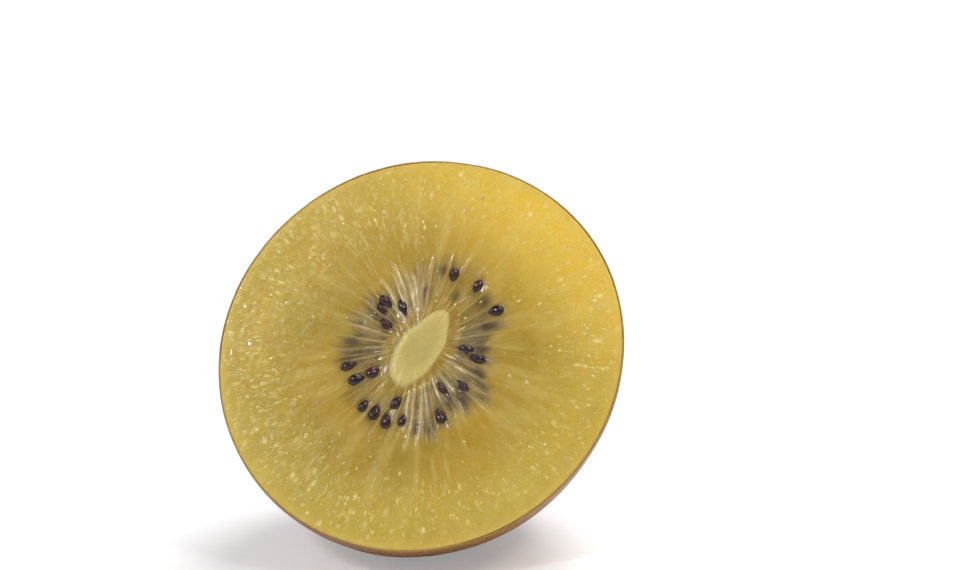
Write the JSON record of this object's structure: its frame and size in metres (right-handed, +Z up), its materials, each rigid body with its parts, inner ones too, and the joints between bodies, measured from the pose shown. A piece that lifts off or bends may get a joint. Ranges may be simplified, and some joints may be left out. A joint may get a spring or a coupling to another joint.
{
  "type": "halved golden kiwi fruit",
  "caption": "Half of a golden kiwi fruit, cut across the middle, lying on its skin with the cut face tilted up: thin skin, yellow flesh with a ring of dark seeds, pale core, dried stem scar.",
  "frame": {"origin": "bottom centre of the part's box, on the surface it rests on", "axes": "+Z up, the cut face looks towards -Y and 25 degrees up, +X to the right of a viewer who faces it"},
  "size_m": [0.0504, 0.0432, 0.0492],
  "materials": {
    "skin": "thin golden brown skin with fine dark dots, satin",
    "flesh": "wet translucent golden yellow flesh, glossy",
    "core": "pale cream yellow core, moist satin",
    "seed": "small purple black seeds, glossy",
    "stem_scar": "dried sepals and stem stub, matt"
  },
  "bodies": {
    "root": {"skin": "skin", "flesh": "flesh", "core": "core", "stem_scar": "stem_scar"}
  },
  "joints": []
}
